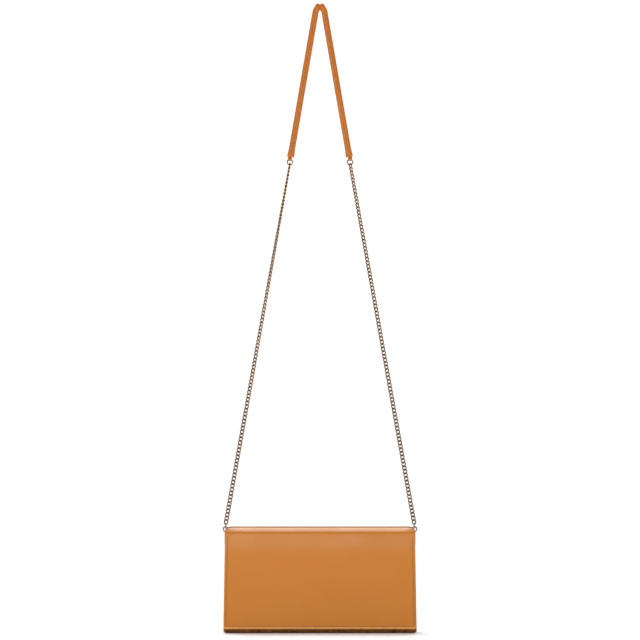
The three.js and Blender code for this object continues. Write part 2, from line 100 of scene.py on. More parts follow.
FLAP_LEAN = 6.5 / 106.6  # forward run of the flap per millimetre of drop
FRONT_LEAN = 5.5 / 106.6
OUTLINE_TOP_HALF = 95.6
OUTLINE_BOTTOM_HALF = 97.4
LEATHER = 1.2
LINING_FROM = 2.3  # the lining's two faces, inward from the outside of the leather
LINING_TO = 2.9
TOP_LINING_FROM = 1.5
TOP_LINING_TO = 2.1
RING_WIRE = 0.55
STRAP_RING = 2.8
CORNER_RING = 2.45
END_LINK = 1.9
END_LINK_STRETCH = 1.3
STRAP_HALF_WIDTH = 3.1
STRAP_LEG_TOP_X = 4.26
STRAP_LEG_SLOPE = 0.172
STRAP_FLARE = 0.5
STRAP_FLARE_LENGTH = 9.0
GUSSET_WALL = 1.0
GUSSET_OUT = 94.0
GUSSET_IN = 89.2

# ---- looks ----

OUTLINE_CORNER_HALF = 95.0
CORNER_CUT = 2.5  # the top corners' cut, smaller than the frame's
LOWER_CORNER = 2.5
TURNED_EDGE = 2.2  # leather turned over the board
GUSSET_REAR = 2.35
GUSSET_MIDDLE = 92.9  # a little further out than the frame's
FRONT_FOLD_RADIUS = 10.0
ROLL_DROP = 28.0  # the flap is rolled back gently this far below the top
ROLL_DEPTH = 2.4
BACK_FOLD_RADIUS = 3.4
BASE_FOLD_RADIUS = 3.0
SEAM_DEPTH = 12.5  # where the body's leather and the flap's meet on the top
NOTCH_REAR = 4.4  # the top is scooped at its ends to clear the rings
NOTCH_RUN = 4.0
TOP_SAG = 0.7
EDGE_STEPS = (0.0, 0.1, 0.3, 0.6, 1.0, 1.5, 1.9, 2.3, 2.6, 2.9, 3.3, 3.7, 4.6, 6.0)
EDGE_FADE = 0.30
STITCH_PITCH = 2.8
STITCH_LENGTH = 2.2
STITCH_INSET = 2.6
STRAP_TAB_STEM = 5.0
STRAP_TAB_HALF = 1.95
CORNER_TAB_HALF = 1.1
LINK_WIRE = 0.56
LINK_HALF_LENGTH = 2.46
LINK_HALF_WIDTH = 1.74
LINK_BOW = 0.65
LINK_PITCH = 3.69
LINK_STEPS = 26
LINK_PLAY = 0.06
TWIST_JITTER = 4  # degrees that a link may be turned from its neighbours
RING_SPLIT = 0.05  # half of a ring's split, as an angle
RING_STEPS = 56
END_LINK_STEPS = 40
STITCH_PROFILE = ((0.0, -0.28, 0.17), (0.2, 0.06, 0.25), (0.5, 0.17, 0.28),
                  (0.8, 0.06, 0.25), (1.0, -0.28, 0.17))  # share, lift and radius
STRAP_LEG_TOP_Z = -1.1  # the legs meet the pinched fold here
STRAP_LEG_STEPS = 74
STRAP_RIM_BEND = (7.0, 1.6)  # the fold's rim: a shoulder, a lobe and a notch between lobes
STRAP_SHOULDER = (5.2, 4.2)
STRAP_LOBE_BEND_X = 3.9
STRAP_LOBE_X = 2.4
STRAP_NOTCH_BEND_X = 1.0
STRAP_NOTCH_DROP = 1.5
STRAP_RIM_STEPS = 6
STRAP_EDGE_STEPS = (0.0, 0.12, 0.35, 0.7, 1.1, 1.6, 2.1)
STRAP_END_STEPS = (0.12, 0.3, 0.6)
STRAP_EDGE_FADE = 0.45
STRAP_STITCH_PROFILE = ((0.0, -0.2, 0.13), (0.25, 0.05, 0.2), (0.75, 0.05, 0.2),
                        (1.0, -0.2, 0.13))
STRAP_STITCH_PITCH = 2.4
STRAP_STITCH_LENGTH = 1.8
STRAP_STITCH_END = 4.0  # from a sewn end to the first stitch
STRAP_STITCH_TOP = -3.0  # stitches stop below the fold
STRAP_HOLLOW = 0.14  # from the strap's middle plane to where the plies meet
STRAP_CROWN = 1.32
STRAP_INSIDE = 0.46
GROOVE_DEPTH = 0.16  # a pressed groove under each row of stitches
GROOVE_WIDTH = 0.42
WELD = 0.003
LINING_TRIM = 1.3  # the lining's edge inside the leather's
POCKET_LEAN = 0.45
TAB_STRIP = 0.55
STRAP_TAB_LOOP = 1.5
CORNER_TAB_LOOP = 1.1
TOOTH_PITCH = 1.5
TOOTH_LENGTH = 0.9
TOOTH_REACH = 0.3
TOOTH_CHAMFER = 0.14


def smoothstep(start, end, value):
    t = min(max((value - start) / (end - start), 0.0), 1.0)
    return t * t * (3 - 2 * t)


def bump(centre, spread, value):
    return math.exp(-((value - centre) / spread) ** 2)


def closing(edge, radius):
    """How far a sheet has opened to its full thickness at a distance from its edge."""
    share = min(edge / radius, 1.0)
    return math.sqrt(max(1 - (1 - share) ** 2, 0.0))


def flap_depth(z):
    return FLAP_END_DEPTH - FLAP_LEAN * (z - FLAP_END_Z)


def flap_hang(z):
    """The flap's depth with the soft roll of its upper part."""
    share = 1 - min((TOP_Z - z) / ROLL_DROP, 1.0)
    return flap_depth(z) - ROLL_DEPTH * share ** 2


def front_depth(z):
    return FRONT_END_DEPTH - FRONT_LEAN * (z - FRONT_END_Z)


def outline_half(z):
    """Half width of the wallet's outline at a height, with its cut top corners."""
    down = (TOP_Z - z) / (TOP_Z - BOTTOM_Z)
    half = OUTLINE_TOP_HALF + (OUTLINE_BOTTOM_HALF - OUTLINE_TOP_HALF) * down
    cut = min((TOP_Z - z) / CORNER_CUT, 1.0)
    return OUTLINE_CORNER_HALF + (half - OUTLINE_CORNER_HALF) * max(cut, 0.0)


def corner_trim(rise):
    """What a rounded lower corner takes off the half width at a height above the edge."""
    if rise >= LOWER_CORNER:
        return 0.0
    reach = LOWER_CORNER - max(rise, 0.0)
    return LOWER_CORNER - math.sqrt(max(LOWER_CORNER ** 2 - reach ** 2, 0.0))


# ---- materials ----


def map_range(tree, value, low_in, high_in, low_out, high_out):
    node = tree.nodes.new("ShaderNodeMapRange")
    for name, number in (("From Min", low_in), ("From Max", high_in),
                         ("To Min", low_out), ("To Max", high_out)):
        node.inputs[name].default_value = number
    tree.links.new(value, node.inputs["Value"])
    return node.outputs["Result"]


class Shader:
    """A node material built a step at a time."""

    def __init__(self, name):
        self.material = bpy.data.materials.new(name)
        self.material.use_nodes = True
        self.tree = self.material.node_tree
        self.surface = self.tree.nodes["Principled BSDF"]
        self.place = self.tree.nodes.new("ShaderNodeTexCoord").outputs["Object"]

    def link(self, source, target):
        self.tree.links.new(source, target)

    def set(self, **values):
        """Sets uniform numbers by socket name, in lower case and with underscores."""
        for name, value in values.items():
            socket = name.replace("_", " ").title().replace("Ior", "IOR")
            self.surface.inputs[socket].default_value = value

    def texture(self, kind, place=None, **values):
        node = self.tree.nodes.new(f"ShaderNodeTex{kind}")
        for name, value in values.items():
            node.inputs[name.title()].default_value = value
        self.link(place or self.place, node.inputs["Vector"])
        return node

    def noise(self, scale, detail=3.0, roughness=0.5, place=None):
        node = self.texture("Noise", place, scale=scale, detail=detail, roughness=roughness)
        return node.outputs["Fac"]

    def cells(self, scale):
        return self.texture("Voronoi", scale=scale).outputs["Distance"]

    def bands(self, scale, direction, distortion=0.0):
        node = self.texture("Wave", scale=scale, distortion=distortion)
        node.bands_direction = direction
        return node.outputs["Fac"]

    def attribute(self, name):
        node = self.tree.nodes.new("ShaderNodeAttribute")
        node.attribute_name = name
        return node.outputs["Fac"]

    def stretched(self, scale):
        node = self.tree.nodes.new("ShaderNodeMapping")
        node.inputs["Scale"].default_value = scale
        self.link(self.place, node.inputs["Vector"])
        return node.outputs["Vector"]

    def spread(self, value, low_in, high_in, low_out, high_out):
        return map_range(self.tree, value, low_in, high_in, low_out, high_out)

    def maths(self, operation, a, b):
        node = self.tree.nodes.new("ShaderNodeMath")
        node.operation = operation
        for socket, value in zip(node.inputs, (a, b)):
            if isinstance(value, (int, float)):
                socket.default_value = value
            else:
                self.link(value, socket)
        return node.outputs["Value"]

    def mix(self, factor, a, b):
        node = self.tree.nodes.new("ShaderNodeMix")
        node.data_type = "RGBA"
        self.link(factor, node.inputs["Factor"])
        for socket, value in ((node.inputs["A"], a), (node.inputs["B"], b)):
            if isinstance(value, tuple):
                socket.default_value = (*value, 1.0)
            else:
                self.link(value, socket)
        return node.outputs["Result"]

    def colour(self, source):
        self.link(source, self.surface.inputs["Base Color"])

    def roughness(self, source):
        self.link(source, self.surface.inputs["Roughness"])

    def relief(self, *layers):
        """Stacks bumps; each layer is a height, a distance in millimetres and a strength."""
        normal = None
        for height, distance, strength in layers:
            node = self.tree.nodes.new("ShaderNodeBump")
            node.inputs["Distance"].default_value = distance * MM
            node.inputs["Strength"].default_value = strength
            self.link(height, node.inputs["Height"])
            if normal is not None:
                self.link(normal, node.inputs["Normal"])
            normal = node.outputs["Normal"]
        self.link(normal, self.surface.inputs["Normal"])


def leather_material(name, base, light, dark, edge_colour, roughness, pore_scale, gloss=0.42):
    """Pored leather that turns towards an edge colour where the edge attribute marks it: dyed and
    rubbed rims, painted shade on the body's base and a painted highlight on the flap's edges.
    """
    shader = Shader(name)
    cloud = shader.spread(shader.noise(34, 4, 0.6), 0.3, 0.7, 0.0, 0.5)
    tone = shader.mix(cloud, base, light)
    drift = shader.spread(shader.noise(11, 2), 0.35, 0.7, 0.0, 0.16)
    tone = shader.mix(drift, tone, dark)
    pores = shader.cells(pore_scale)
    pitted = shader.spread(pores, 0.0, 0.16, 0.45, 0.0)
    tone = shader.mix(pitted, tone, dark)
    # the edge attribute carries dyed and rubbed rims, painted shade on the body's lower front and
    # base, and a painted highlight on the flap's rims and lower edge
    edge = shader.spread(shader.attribute("edge"), 0.35, 1.0, 0.0, 0.95)
    tint_share = shader.maths("MULTIPLY", edge, shader.spread(shader.noise(260, 3), 0.3, 0.7, 0.6, 1.0))
    shader.colour(shader.mix(tint_share, tone, edge_colour))
    rough = shader.spread(shader.noise(55, 4), 0.3, 0.7, roughness - 0.05, roughness + 0.07)
    shader.roughness(shader.maths("SUBTRACT", rough, shader.maths("MULTIPLY", edge, 0.12)))
    shader.set(specular_ior_level=gloss, coat_weight=0.10, coat_roughness=0.32)
    shader.relief(
        (shader.noise(45, 3), 0.5, 0.25),
        (shader.cells(pore_scale * 0.62), 0.10, 0.35),
        (shader.noise(pore_scale * 2.2, 3, 0.6), 0.05, 0.35),
    )
    return shader.material


def suede_material(name, base, light):
    shader = Shader(name)
    nap = shader.noise(900, 4, 0.7)
    cloud = shader.spread(shader.noise(28, 3), 0.35, 0.65, 0.0, 1.0)
    tone = shader.mix(cloud, base, light)
    fibre = shader.spread(nap, 0.35, 0.7, 0.0, 0.5)
    shader.colour(shader.mix(fibre, tone, tuple(0.6 * c for c in base)))
    shader.roughness(shader.spread(nap, 0.3, 0.7, 0.86, 0.97))
    shader.set(specular_ior_level=0.15, sheen_weight=0.35, sheen_roughness=0.5)
    shader.relief((nap, 0.16, 0.5), (shader.noise(120, 2), 0.2, 0.2))
    return shader.material


def metal_material(name, dark, light, patina, roughness):
    """Metal that is rubbed light on its crowns, dark in its hollows and spotted with patina."""
    shader = Shader(name)
    crown = shader.spread(shader.attribute("crown"), 0.30, 0.95, 0.0, 1.0)
    tint_share = shader.maths("MULTIPLY", crown, shader.spread(shader.noise(420, 3), 0.3, 0.65, 0.45, 1.0))
    tone = shader.mix(tint_share, dark, light)
    spots = shader.spread(shader.noise(900, 4, 0.65), 0.52, 0.72, 0.0, 0.7)
    shader.colour(shader.mix(spots, tone, patina))
    shader.roughness(shader.spread(shader.noise(600, 3), 0.3, 0.7, roughness, roughness + 0.18))
    shader.set(metallic=1.0)
    shader.relief((shader.noise(1500, 3), 0.03, 0.3))
    return shader.material


def thread_material(name, base, light):
    shader = Shader(name)
    twist = shader.bands(900, "DIAGONAL", 1.5)
    shader.colour(shader.mix(twist, base, light))
    shader.roughness(shader.spread(twist, 0.0, 1.0, 0.6, 0.72))
    shader.set(specular_ior_level=0.3, sheen_weight=0.2)
    shader.relief((twist, 0.08, 0.6))
    return shader.material


def woven_material(name, base, light):
    shader = Shader(name)
    warp = shader.bands(520, "X")
    weft = shader.bands(520, "Z")
    weave = shader.maths("MULTIPLY", warp, weft)
    tone = shader.mix(shader.spread(weave, 0.0, 0.8, 0.0, 1.0), base, light)
    fuzz = shader.spread(shader.noise(700, 3), 0.35, 0.7, 0.0, 0.5)
    shader.colour(shader.mix(fuzz, tone, base))
    shader.roughness(shader.spread(weave, 0.0, 1.0, 0.92, 0.78))
    shader.set(specular_ior_level=0.2, sheen_weight=0.3)
    shader.relief((weave, 0.15, 0.7))
    return shader.material


def board_material(name, base, dark):
    shader = Shader(name)
    fibres = shader.noise(300, 5, 0.7, place=shader.stretched((1.0, 1.0, 0.25)))
    shader.colour(shader.mix(shader.spread(fibres, 0.4, 0.7, 0.0, 1.0), base, dark))
    shader.roughness(shader.spread(fibres, 0.3, 0.7, 0.82, 0.95))
    shader.relief((fibres, 0.1, 0.4))
    return shader.material


def floor_material(name, base):
    shader = Shader(name)
    mottle = shader.spread(shader.noise(3, 2), 0.3, 0.7, 0.0, 1.0)
    shader.colour(shader.mix(mottle, base, tuple(0.995 * c for c in base)))
    shader.set(roughness=0.9, specular_ior_level=0.1)
    return shader.material


CALF_TONES = ((0.405, 0.130, 0.002), (0.43, 0.142, 0.004), (0.33, 0.094, 0.001))
# near-black edge colour: partly the dyed rims, partly painted shade on the body's lower front and
# base
CALF = leather_material("calf_leather", *CALF_TONES, (0.020, 0.002, 0.001), 0.36, 950, 0.25)
# the same calf with a lighter edge colour: a painted highlight on the flap's turned rims and lower
# edge
FLAP_CALF_PAINTED_HIGHLIGHT = leather_material("flap_calf_leather_painted_highlight", *CALF_TONES, (0.57, 0.245, 0.045), 0.36, 950, 0.36)
STRAP = leather_material("strap_leather", (0.36, 0.096, 0.001), (0.41, 0.116, 0.002),
                         (0.26, 0.058, 0.001), (0.14, 0.022, 0.002), 0.44, 1300, 0.2)
SLOT = leather_material("slot_leather", (0.44, 0.150, 0.022), (0.50, 0.18, 0.03),
                        (0.34, 0.10, 0.012), (0.15, 0.035, 0.008), 0.5, 1000)
SUEDE = suede_material("suede_lining", (0.26, 0.115, 0.042), (0.32, 0.15, 0.06))
BRASS = metal_material("antique_brass", (0.060, 0.016, 0.002), (0.42, 0.19, 0.020),
                       (0.04, 0.018, 0.01), 0.26)
ZIP_METAL = metal_material("zip_brass", (0.20, 0.12, 0.05), (0.62, 0.44, 0.20),
                           (0.16, 0.10, 0.05), 0.28)
STEEL = metal_material("magnet_steel", (0.45, 0.45, 0.46), (0.62, 0.62, 0.63),
                       (0.30, 0.30, 0.31), 0.3)
THREAD = thread_material("thread", (0.070, 0.028, 0.005), (0.14, 0.062, 0.014))
TAPE = woven_material("zip_tape", (0.14, 0.06, 0.022), (0.26, 0.12, 0.05))
CORE = woven_material("strap_tape", (0.30, 0.20, 0.12), (0.42, 0.30, 0.19))
BOARD = board_material("fibre_board", (0.36, 0.33, 0.29), (0.20, 0.17, 0.14))


# ---- mesh helpers ----


def link_object(name, bm, material):
    """Turns a bmesh in millimetres into a piece in metres."""
    bmesh.ops.scale(bm, vec=(MM, MM, MM), verts=bm.verts)
    mesh = bpy.data.meshes.new(name)
    bm.to_mesh(mesh)
    bm.free()
    mesh.materials.append(material)
    piece = bpy.data.objects.new(name, mesh)
    bpy.context.scene.collection.objects.link(piece)
    return piece


def stand_in(piece, node, body):
    """Puts a piece in a CAD node's place and on a body."""
    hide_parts(node)
    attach(piece, body)


def add_skin(bm, rows):
    """A smooth skin through rows of places, each with its share of the edge colour."""
    layer = bm.verts.layers.float.get("edge") or bm.verts.layers.float.new("edge")
    grid = []
    for row in rows:
        line = []
        for spot, edge in row:
            vert = bm.verts.new(spot)
            vert[layer] = edge
            line.append(vert)
        grid.append(line)
    for first, second in zip(grid, grid[1:]):
        for j in range(len(first) - 1):
            bm.faces.new((first[j], first[j + 1], second[j + 1], second[j])).smooth = True
    return grid


def weld(bm):
    bmesh.ops.remove_doubles(bm, verts=bm.verts, dist=WELD)
    bmesh.ops.recalc_face_normals(bm, faces=bm.faces)


def add_tube(bm, points, ups, radii, sides=8, loop=False):
    """A round tube through points; ups are the directions that its crown faces."""
    layer = bm.verts.layers.float.get("crown") or bm.verts.layers.float.new("crown")
    count = len(points)
    rings = []
    for i, (point, up, radius) in enumerate(zip(points, ups, radii)):
        before = points[i - 1] if loop or i else points[0]
        after = points[(i + 1) % count] if loop or i + 1 < count else points[-1]
        along = (after - before).normalized()
        crown = (up - along * up.dot(along)).normalized()
        side = along.cross(crown)
        ring = []
        for k in range(sides):
            turn = 2 * math.pi * k / sides
            vert = bm.verts.new(point + (crown * math.cos(turn) + side * math.sin(turn)) * radius)
            vert[layer] = 0.5 + 0.5 * math.cos(turn)
            ring.append(vert)
        rings.append(ring)
    pairs = list(zip(rings, rings[1:]))
    if loop:
        pairs.append((rings[-1], rings[0]))
    else:
        bm.faces.new(list(reversed(rings[0])))
        bm.faces.new(rings[-1])
    for first, second in pairs:
        for k in range(sides):
            n = (k + 1) % sides
            bm.faces.new((first[k], first[n], second[n], second[k])).smooth = True


def rounded(corners, steps=14):
    """The close points of a line through corners, each a Y, a Z and a radius."""
    points = [Vector(corners[0][:2])]
    for before, here, after in zip(corners, corners[1:], corners[2:]):
        corner, radius = Vector(here[:2]), here[2]
        back = (Vector(before[:2]) - corner).normalized()
        on = (Vector(after[:2]) - corner).normalized()
        half = back.angle(on) / 2
        centre = corner + (back + on).normalized() * (radius / math.sin(half))
        first = corner + back * (radius / math.tan(half)) - centre
        last = corner + on * (radius / math.tan(half)) - centre
        start = math.atan2(first.y, first.x)
        sweep = (math.atan2(last.y, last.x) - start + math.pi) % (2 * math.pi) - math.pi
        for k in range(steps + 1):
            turn = start + sweep * k / steps
            points.append(centre + Vector((math.cos(turn), math.sin(turn))) * radius)
    points.append(Vector(corners[-1][:2]))
    return points


class Path:
    """A line in Y and Z that gives its point and outward direction at a distance."""

    def __init__(self, points):
        self.points = [Vector(p) for p in points]
        self.marks = [0.0]
        for a, b in zip(self.points, self.points[1:]):
            self.marks.append(self.marks[-1] + (b - a).length)
        self.length = self.marks[-1]

    def point(self, s):
        s = min(max(s, 0.0), self.length)
        i = min(bisect.bisect_right(self.marks, s), len(self.marks) - 1)
        span = self.marks[i] - self.marks[i - 1]
        return self.points[i - 1].lerp(self.points[i], (s - self.marks[i - 1]) / span)

    def outward(self, s, reach=0.3):
        run = (self.point(s + reach) - self.point(s - reach)).normalized()
        return Vector((run.y, -run.x))


def level(height):
    """A sheet's face that keeps one height above its path."""
    return lambda s, x, edge: height


@dataclass
class Sheet:
    """Leather or cloth that follows a path, with two faces and rounded or butted ends.

    outer and inner give the faces' places from the path, outward, at a distance along the path,
    a place across and a distance from the nearest free edge. free says which ends are rounded,
    fine lists stretches with closer rows, and the last field gives a band of painted light in the
    edge colour along the path: painted shade on the body's base, a painted highlight on the flap's
    lower edge.
    """

    path: Path
    half_width: Callable
    outer: Callable
    inner: Callable
    radius: float
    free: tuple = (True, True)
    spacing: float = 6
    fine: tuple = ()
    centre: float = 0.0
    # a band of painted light in the edge colour: painted shade on the body, a painted highlight on
    # the flap
    painted_light: Callable = None

    def edge(self, s, x):
        reaches = [self.half_width(s) - abs(x)]
        if self.free[0]:
            reaches.append(s)
        if self.free[1]:
            reaches.append(self.path.length - s)
        return max(min(reaches), 0.0)

    def rows(self):
        length = self.path.length
        steps = max(2, math.ceil(length / self.spacing))
        marks = [length * k / steps for k in range(steps + 1)]
        usable = [e for e in EDGE_STEPS if e < length / 2.2]
        if self.free[0]:
            marks += usable
        if self.free[1]:
            marks += [length - e for e in usable]
        for start, end, step in self.fine:
            count = math.ceil((end - start) / step)
            marks += [start + (end - start) * k / count for k in range(count + 1)]
        kept = []
        for mark in sorted(m for m in marks if 0 <= m <= length):
            if not kept or mark - kept[-1] > 0.06:
                kept.append(mark)
        kept[-1] = length
        return kept

    def columns(self, s, count, usable):
        half = self.half_width(s)
        inside = half - usable[-1]
        left = [-half + e for e in usable]
        across = [-inside + 2 * inside * k / count for k in range(1, count)]
        return left + across + [-x for x in reversed(left)]

    def on(self, s, x, height):
        point = self.path.point(s) + self.path.outward(s) * height
        return Vector((self.centre + x, point.x, point.y))

    def face(self, s, x, face):
        edge = self.edge(s, x)
        outer, inner = self.outer(s, x, edge), self.inner(s, x, edge)
        middle_height = (outer + inner) / 2
        height = outer if face == "outer" else inner
        return self.on(s, x, middle_height + (height - middle_height) * closing(edge, self.radius))

    def tint_share(self, s, x):
        """The share of the edge colour at a place, raised by the sheet's band of painted light where
        it has one.
        """
        share = math.exp(-self.edge(s, x) / EDGE_FADE)
        return max(share, self.painted_light(s)) if self.painted_light else share

    def lifted(self, s, x, lift):
        return self.on(s, x, self.outer(s, x, self.edge(s, x)) + lift)

    def build(self, name, material):
        rows = self.rows()
        narrowest = min(self.half_width(s) for s in rows)
        usable = [e for e in EDGE_STEPS if e < narrowest * 0.8]
        count = max(2, math.ceil(2 * (narrowest - usable[-1]) / self.spacing))
        bm = bmesh.new()
        grids = [add_skin(bm, [[(self.face(s, x, face), self.tint_share(s, x))
                                for x in self.columns(s, count, usable)] for s in rows])
                 for face in ("outer", "inner")]
        for row, free in zip((0, -1), self.free):
            if free:
                continue
            first, second = grids[0][row], grids[1][row]
            for j in range(len(first) - 1):
                cap = bm.faces.new((first[j], first[j + 1], second[j + 1], second[j]))
                for edge in cap.edges:
                    edge.smooth = False
        weld(bm)
        return link_object(name, bm, material)


def stitches(name, sheet, starts):
    """Thread on a sheet; each start is a place along, a place across and a direction on the sheet."""
    bm = bmesh.new()
    for s, x, along, across in starts:
        skew = dice.uniform(-0.06, 0.06)
        places = [(s + STITCH_LENGTH * share * along + skew * across * share,
                   x + STITCH_LENGTH * share * across + skew * along * share)
                  for share, _, _ in STITCH_PROFILE]
        points = [sheet.lifted(*place, lift)
                  for place, (_, lift, _) in zip(places, STITCH_PROFILE)]
        ups = [(sheet.lifted(*place, 1.0) - sheet.lifted(*place, 0.0)) for place in places]
        add_tube(bm, points, ups, [radius for _, _, radius in STITCH_PROFILE], sides=6)
    return link_object(name, bm, THREAD)


def stitch_run(start, end, make):
    """Evenly pitched stitches between two distances."""
    count = max(1, round((end - start) / STITCH_PITCH))
    pitch = (end - start) / count
    return [make(start + pitch * k) for k in range(count)]


# ---- camera, light and floor ----

CAMERA_DISTANCE = 4600.0
CAMERA_HEIGHT = (TOP_Z + BOTTOM_Z) / 2 + 261.8
FRAMED_WIDTH = 643.2  # millimetres across the picture at the flap
SENSOR = 36.0
HORIZON_LIGHT = 1.05  # a white band round the horizon, and a dimmer sky above it
SKY_LIGHT = 0.28
HORIZON_BAND = (0.075, 0.12)  # the rise over which the one gives way to the other
LIGHTS = (  # name, place, width, depth and power
    ("left_panel", (-1250, -800, -470), 700, 260, 5.6),
    ("right_panel", (1250, -800, -470), 700, 260, 4.4),
    ("front_strip", (-150, -1150, -110), 1100, 160, 4.9),
    ("top_strip", (-150, -700, 330), 1000, 200, 1.7),
)
SUN_PLACE = (-150, 760, 1500)
SUN_STRENGTH = 2.75
SUN_SOFTNESS = 40
FLOOR_HALF = 30000
FLOOR_GAP = 0.05
X_AXIS, Y_AXIS, Z_AXIS = Vector((1, 0, 0)), Vector((0, 1, 0)), Vector((0, 0, 1))


def make_camera():
    data = bpy.data.cameras.new("camera")
    data.sensor_width = SENSOR
    data.lens = SENSOR * (CAMERA_DISTANCE + low("flap_leather").y) / FRAMED_WIDTH
    camera = bpy.data.objects.new("camera", data)
    camera.location = Vector((0, -CAMERA_DISTANCE, CAMERA_HEIGHT)) * MM
    camera.rotation_euler = (math.pi / 2, 0, 0)
    bpy.context.scene.collection.objects.link(camera)
    bpy.context.scene.camera = camera


def place_light(data, place, aim):
    light = bpy.data.objects.new(data.name, data)
    light.location = place
    light.rotation_euler = (aim - place).to_track_quat("-Z", "Y").to_euler()
    bpy.context.scene.collection.objects.link(light)


def make_panel_light(name, place, width, depth, power):
    data = bpy.data.lights.new(name, "AREA")
    data.shape = "RECTANGLE"
    data.size = width * MM
    data.size_y = depth * MM
    data.energy = power
    place_light(data, Vector(place) * MM, Vector((0, 0, (TOP_Z + BOTTOM_Z) / 2)) * MM)


def make_sun():
    data = bpy.data.lights.new("overhead", "SUN")
    data.energy = SUN_STRENGTH
    data.angle = math.radians(SUN_SOFTNESS)
    place_light(data, Vector(SUN_PLACE) * MM, Vector((0, 0, 0)))


def make_world():
    world = bpy.data.worlds.new("studio")
    world.use_nodes = True
    tree = world.node_tree
    direction = tree.nodes.new("ShaderNodeSeparateXYZ")
    generated = tree.nodes.new("ShaderNodeTexCoord").outputs["Generated"]
    tree.links.new(generated, direction.inputs["Vector"])
    strength = map_range(tree, direction.outputs["Z"], *HORIZON_BAND, HORIZON_LIGHT, SKY_LIGHT)
    sky = tree.nodes["Background"]
    sky.inputs["Color"].default_value = (1, 1, 1, 1)
    tree.links.new(strength, sky.inputs["Strength"])
    bpy.context.scene.world = world
    bpy.context.scene.view_settings.view_transform = "Standard"


def make_floor():
    bm = bmesh.new()
    corners = ((-1, -1), (1, -1), (1, 1), (-1, 1))
    bm.faces.new([bm.verts.new((x * FLOOR_HALF, y * FLOOR_HALF, BOTTOM_Z - FLOOR_GAP))
                  for x, y in corners])
    floor = link_object("floor", bm, floor_material("studio_floor", (0.965, 0.965, 0.965)))


def make_studio():
    make_world()
    for light in LIGHTS:
        make_panel_light(*light)
    make_sun()
    make_floor()


# ---- chains and rings ----


def chain_ends(word):
    """Where a run of chain starts inside the strap ring and ends inside the end link."""
    ring = middle(f"strap_ring_{word}")
    end = middle(f"end_link_{word}")
    start_z = ring.z - STRAP_RING + RING_WIRE + LINK_WIRE + LINK_PLAY
    end_z = end.z + END_LINK * END_LINK_STRETCH - RING_WIRE - LINK_WIRE - LINK_PLAY
    return Vector((ring.x, ring.y, start_z)), Vector((end.x, end.y, end_z))


def make_chain(word, top_twist, bottom_twist):
    """A run of curb chain; the twist is its turn away from flat to the front, in degrees."""
    start, end = chain_ends(word)
    run = end - start
    along = run.normalized()
    sideways = Vector((along.z, 0, -along.x)).normalized()
    count = round((run.length - 2 * LINK_HALF_LENGTH) / LINK_PITCH) + 1
    pitch = (run.length - 2 * LINK_HALF_LENGTH) / (count - 1)
    bm = bmesh.new()
    for i in range(count):
        share = i / (count - 1)
        twist = math.radians(top_twist + (bottom_twist - top_twist) * share ** 0.9)
        twist += math.radians(dice.uniform(-TWIST_JITTER, TWIST_JITTER))
        across = sideways * math.cos(twist) + Y_AXIS * math.sin(twist)
        through = along.cross(across)
        centre = start + along * (LINK_HALF_LENGTH + pitch * i)
        points = []
        for k in range(LINK_STEPS):
            turn = 2 * math.pi * k / LINK_STEPS
            points.append(centre + across * (LINK_HALF_WIDTH * math.cos(turn))
                          + along * (LINK_HALF_LENGTH * math.sin(turn))
                          + through * (LINK_BOW * math.sin(2 * turn)))
        ups = [point - centre for point in points]
        add_tube(bm, points, ups, [LINK_WIRE] * LINK_STEPS, loop=True)
    piece = link_object(f"curb_chain_{word}", bm, BRASS)
    stand_in(piece, f"chain_{word}", "chains")


def make_wire(node, radius, across, start, sweep, steps, stretch=1.0, loop=False):
    """A wire bent round a ring or link that stands in the plane of across and Z."""
    points, ups = [], []
    for k in range(steps):
        turn = start + sweep * k / (steps - 1)
        out = across * math.cos(turn) + Z_AXIS * math.sin(turn) * stretch
        points.append(middle(node) + out * radius)
        ups.append(out)
    bm = bmesh.new()
    add_tube(bm, points, ups, [RING_WIRE] * steps, sides=12, loop=loop)
    stand_in(link_object(f"{node}_wire", bm, BRASS), node, "chains")


def make_ring(node, radius, split_turn):
    """A wire ring whose two ends meet with a fine split."""
    sweep = 2 * math.pi - 2 * RING_SPLIT
    make_wire(node, radius, X_AXIS, split_turn + RING_SPLIT, sweep, RING_STEPS)


def make_end_link(node):
    sweep = 2 * math.pi * (END_LINK_STEPS - 1) / END_LINK_STEPS
    make_wire(node, END_LINK, Y_AXIS, 0.0, sweep, END_LINK_STEPS, END_LINK_STRETCH, loop=True)


# ---- strap ----


def curve(start, control, end):
    """Points of a quadratic curve, without its first."""
    points = []
    for k in range(1, STRAP_RIM_STEPS + 1):
        t = k / STRAP_RIM_STEPS
        points.append(start * (1 - t) ** 2 + control * (2 * t * (1 - t)) + end * t ** 2)
    return points


